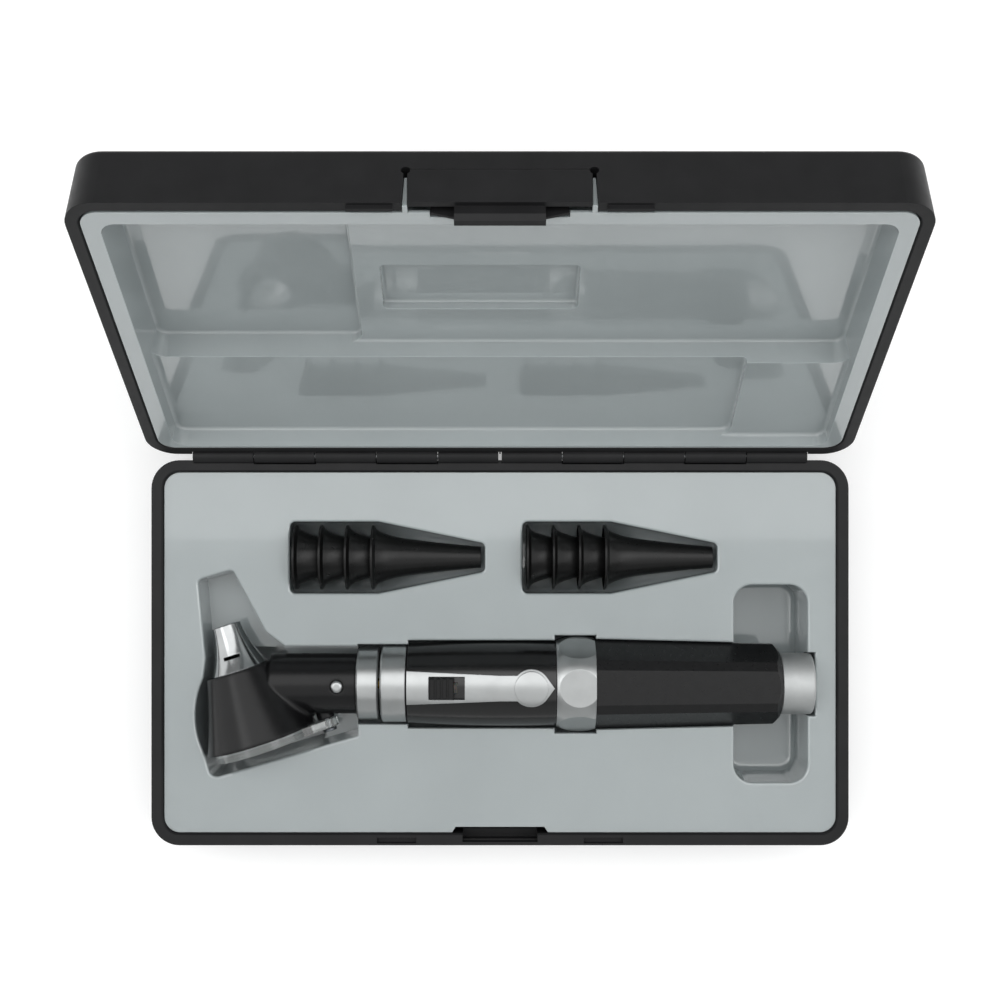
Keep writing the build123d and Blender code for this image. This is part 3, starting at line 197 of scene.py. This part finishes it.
def moulded_polypropylene():
    """Black polypropylene, thin and slightly waxy, on the ear specula."""
    material, tree, shader, where = finish(
        "waxy_black_polypropylene", {"IOR": 1.49, "Specular IOR Level": 0.32}
    )
    shade(tree, shader, speckle(tree, where, 4), "#090909", "#0c0c0c")
    shine(tree, shader, speckle(tree, where, 1.6), 0.27, 0.33)
    relief(tree, shader, speckle(tree, where, 1.4), 0.003, 0.4)
    return material


def thumbed_abs():
    """Matt black ABS under the thumb, polished a little by use."""
    material, tree, shader, where = finish("thumbed_black_abs", {"IOR": 1.53, "Specular IOR Level": 0.25})
    shade(tree, shader, speckle(tree, where, 1.5), "#070708", "#0c0c0d")
    shine(tree, shader, speckle(tree, where, 0.8), 0.36, 0.5)
    relief(tree, shader, speckle(tree, where, 0.4), 0.01, 0.6)
    return material


def polished_acrylic():
    """Clear cast acrylic, finely scratched by wiping: pale edges, and what lies behind it shows through."""
    material, tree, shader, where = finish(
        "polished_clear_acrylic",
        {"IOR": 1.49, "Transmission Weight": 0.94, "Base Color": linear("#f2f6f5")},
    )
    shine(tree, shader, speckle(tree, where, 3.0), 0.06, 0.12)
    relief(tree, shader, speckle(tree, where, 5.0), 0.004, 0.3)
    return material


def drawn_steel():
    """Bright drawn steel wire: a clean metallic shine, faintly dulled by scratches."""
    material, tree, shader, where = finish("drawn_steel", {"Metallic": 1.0})
    shade(tree, shader, speckle(tree, where, 2), "#a9abad", "#bcbec0")
    shine(tree, shader, speckle(tree, where, 0.5), 0.25, 0.38)
    relief(tree, shader, speckle(tree, where, 0.3), 0.003, 0.4)
    return material


def turned_brass():
    """Turned brass, slightly dulled by air."""
    material, tree, shader, where = finish("turned_brass", {"Metallic": 1.0})
    shade(tree, shader, speckle(tree, where, 2), "#b08d45", "#c8a55a")
    shine(tree, shader, speckle(tree, where, 0.6), 0.24, 0.36)
    relief(tree, shader, speckle(tree, where, 0.4), 0.003, 0.4)
    return material


def natural_nylon():
    """Unpigmented moulded nylon: creamy white and slightly translucent."""
    material, tree, shader, where = finish(
        "natural_nylon", {"IOR": 1.53, "Subsurface Weight": 0.15, "Subsurface Scale": 1.5 * MM}
    )
    shade(tree, shader, speckle(tree, where, 3), "#dcd9cd", "#e6e3d9")
    shine(tree, shader, speckle(tree, where, 1.0), 0.38, 0.48)
    relief(tree, shader, speckle(tree, where, 0.7), 0.006, 0.4)
    return material


def shrunk_cell_film():
    """Plain grey film shrunk on a steel cell: smooth with faint creases."""
    material, tree, shader, where = finish("shrunk_grey_film", {"IOR": 1.5})
    shade(tree, shader, speckle(tree, where, 6), "#5d6266", "#686d71")
    shine(tree, shader, speckle(tree, where, 2.0), 0.28, 0.36)
    relief(tree, shader, speckle(tree, where, 2.0), 0.01, 0.3)
    return material


def light_table():
    """A sheet of opal acrylic lit faintly from below: white, and it takes the edge off the case's shadow."""
    material, tree, shader, where = finish(
        "opal_light_table",
        {"Roughness": 0.9, "Specular IOR Level": 0.1, "Emission Color": linear("#ffffff"),
         "Emission Strength": 0.36},
    )
    shade(tree, shader, speckle(tree, where, 60), "#dddddd", "#dfdfdf")
    relief(tree, shader, speckle(tree, where, 1.5), 0.01, 0.2)
    return material


# ---------------------------------------------------------------- dressing
def dress(piece, material):
    """Gives a piece its finish."""
    piece.data.materials.clear()
    piece.data.materials.append(material)


SLOTS = {entry["node"]: entry["material_slot"] for entry in frame["record"]["subparts"]}
# The finish of each slot, and of the pieces that differ from the rest of their slot.
FINISHES = {
    "case_plastic": grained_abs(),
    "formed_sheet": formed_polystyrene(),
    "steel": drawn_steel(),
    "head_plastic": satin_abs(),
    "barrel_black": smooth_abs(),
    "chrome": turned_chrome(),
    "clear_lens": polished_acrylic(),
    "sleeve_black": satin_nylon(),
    "button_black": thumbed_abs(),
    "specula_black": moulded_polypropylene(),
    "brass": turned_brass(),
    "white_plastic": natural_nylon(),
    "cell_jacket": shrunk_cell_film(),
}
OWN_FINISH = {
    "speculum_seat": polished_chrome(),
    "lens_pivot": blackened_steel(),
    "end_cap": blasted_chrome(),
}

for name, node in frame["nodes"].items():
    dress(node, OWN_FINISH.get(name, FINISHES[SLOTS[name]]))


# ---------------------------------------------------------------- lining tabs
# A tab is shaped in the closed lid, in millimetres, and then turned about the hinge to where the lid
# stands open.
HINGE = next(joint for joint in frame["record"]["behaviour"]["joints"] if joint["name"] == "lid_hinge")
FRONT_FACE = -58.0         # y of the lid's front face at the parting plane
PARTING = 25.05            # z of the parting plane
WALL_LEAN = math.tan(math.radians(2.0))
SLIT_X = 22.7              # x of the middle of a slit
TAB_RIM = 1.3              # width of a tab at the rim, where the slit is 1.5 wide
TAB_ROOT = 0.75            # width of a tab at its end, where the slit is 0.95 wide
TAB_SET = 1.2              # how far a tab stands behind the front face
TAB_THICK = 0.5
TAB_LIFT = 0.02            # clearance over the parting plane
TAB_TOP = 9.0              # reach of a tab above the parting plane
TAB_EDGE = 0.12            # the break of its edges
FLANGE_EDGE = 3.95         # from the front face to just past the edge of the lining's flange


def lining_tab(name, side):
    """A narrow tab of the lining that stands in one slit beside the latch tongue."""
    near = FRONT_FACE + TAB_SET
    lean = TAB_TOP * WALL_LEAN
    edge = FRONT_FACE + FLANGE_EDGE
    low = PARTING + TAB_LIFT
    top = PARTING + TAB_TOP
    # Seen from the side: a foot that reaches the lining's flange, and a blade along the lid's front wall.
    profile = [
        (near, low), (edge, low), (edge, low + TAB_THICK), (near + TAB_THICK, low + TAB_THICK),
        (near + TAB_THICK + lean, top), (near + lean, top),
    ]
    shape = bmesh.new()
    start = side * SLIT_X - TAB_RIM / 2
    corners = [shape.verts.new((start, y, z)) for y, z in profile]
    grown = bmesh.ops.extrude_face_region(shape, geom=[shape.faces.new(corners)])["geom"]
    moved = [part for part in grown if isinstance(part, bmesh.types.BMVert)]
    bmesh.ops.translate(shape, verts=moved, vec=(TAB_RIM, 0, 0))
    ends = [vert for vert in shape.verts if vert.co.z > low + TAB_THICK + TAB_EDGE]
    middle = Matrix.Translation((-side * SLIT_X, 0, 0))
    bmesh.ops.scale(shape, verts=ends, vec=(TAB_ROOT / TAB_RIM, 1, 1), space=middle)
    bmesh.ops.bevel(
        shape, geom=shape.edges[:], offset=TAB_EDGE, affect="EDGES", segments=2, profile=0.5, material=-1
    )
    bmesh.ops.recalc_face_normals(shape, faces=shape.faces[:])
    bmesh.ops.scale(shape, verts=shape.verts[:], vec=(MM, MM, MM))
    turn = Matrix.Rotation(math.radians(HINGE["range_deg"][0]), 3, "X")
    bmesh.ops.rotate(shape, verts=shape.verts[:], cent=HINGE["pos_m"], matrix=turn)
    mesh = bpy.data.meshes.new(name)
    shape.to_mesh(mesh)
    shape.free()
    tab = bpy.data.objects.new(name, mesh)
    bpy.context.scene.collection.objects.link(tab)
    dress(tab, FINISHES["formed_sheet"])
    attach(tab, "lid")


lining_tab("lining_tab_left", -1)
lining_tab("lining_tab_right", 1)


# ---------------------------------------------------------------- studio
# Place and aim of each light, its width and length in metres, and its watts. The key hangs over the lid
# and gives the chrome its streak; the fill hangs over the tray.
LIGHTS = {
    "key_box": ((0.0, 0.4, 1.0), (0.0, 0.4, 0.0), 1.8, 0.78, 7.4),
    "fill_box": ((0.0, -0.42, 1.0), (0.0, -0.42, 0.0), 1.8, 0.86, 3.3),
    "left_box": ((-1.2, 0.1, 0.8), (0.0, 0.0, 0.02), 1.1, 1.8, 6.5),
    "right_box": ((1.2, 0.1, 0.8), (0.0, 0.0, 0.02), 1.1, 1.8, 6.5),
}
AIR_ROOM = 0.38            # strength of the light from all round
AIR_FRONT = 0.68           # its strength from in front, low down, which lifts the chrome's lower sides
AIR_TURNS = (-0.85, -0.6)  # y of the directions between which it changes
FLOOR_HALF = 3.0
FLOOR_DROP = 0.2 * MM      # keeps the floor clear of the case's underside
CAMERA_AT = (0.0, 0.046, 0.5036)    # straight over the open case, looking down
CAMERA_LENS, CAMERA_SENSOR = 57.2, 36.0


def softbox(name, place, aim, width, length, power):
    """A soft white rectangular light."""
    data = bpy.data.lights.new(name, "AREA")
    data.shape = "RECTANGLE"
    data.size = width
    data.size_y = length
    data.energy = power
    light = bpy.data.objects.new(name, data)
    light.location = place
    light.rotation_euler = (Vector(aim) - Vector(place)).to_track_quat("-Z", "Y").to_euler()
    light.visible_camera = False
    bpy.context.scene.collection.objects.link(light)


for name, values in LIGHTS.items():
    softbox(name, *values)

world = bpy.data.worlds.new("studio_air")
world.use_nodes = True
air = world.node_tree
air.nodes["Background"].inputs["Color"].default_value = linear("#eef0f0")
toward = add(air, "SeparateXYZ", links={"Vector": add(air, "TexCoord").outputs["Generated"]}).outputs["Y"]
front = add(
    air, "MapRange",
    {"From Min": AIR_TURNS[0], "From Max": AIR_TURNS[1], "To Min": AIR_FRONT, "To Max": AIR_ROOM},
    {"Value": toward},
)
air.links.new(front.outputs["Result"], air.nodes["Background"].inputs["Strength"])
bpy.context.scene.world = world

floor_shape = bmesh.new()
bmesh.ops.create_grid(floor_shape, x_segments=1, y_segments=1, size=FLOOR_HALF)
bmesh.ops.translate(floor_shape, verts=floor_shape.verts, vec=(0, 0, -FLOOR_DROP))
floor_mesh = bpy.data.meshes.new("floor")
floor_shape.to_mesh(floor_mesh)
floor_shape.free()
floor = bpy.data.objects.new("floor", floor_mesh)
bpy.context.scene.collection.objects.link(floor)
dress(floor, light_table())

camera_data = bpy.data.cameras.new("camera")
camera_data.sensor_width = CAMERA_SENSOR
camera_data.lens = CAMERA_LENS
camera_data.clip_start = 0.01
camera = bpy.data.objects.new("camera", camera_data)
camera.location = CAMERA_AT
bpy.context.scene.collection.objects.link(camera)
bpy.context.scene.camera = camera
bpy.context.scene.view_settings.view_transform = "Standard"
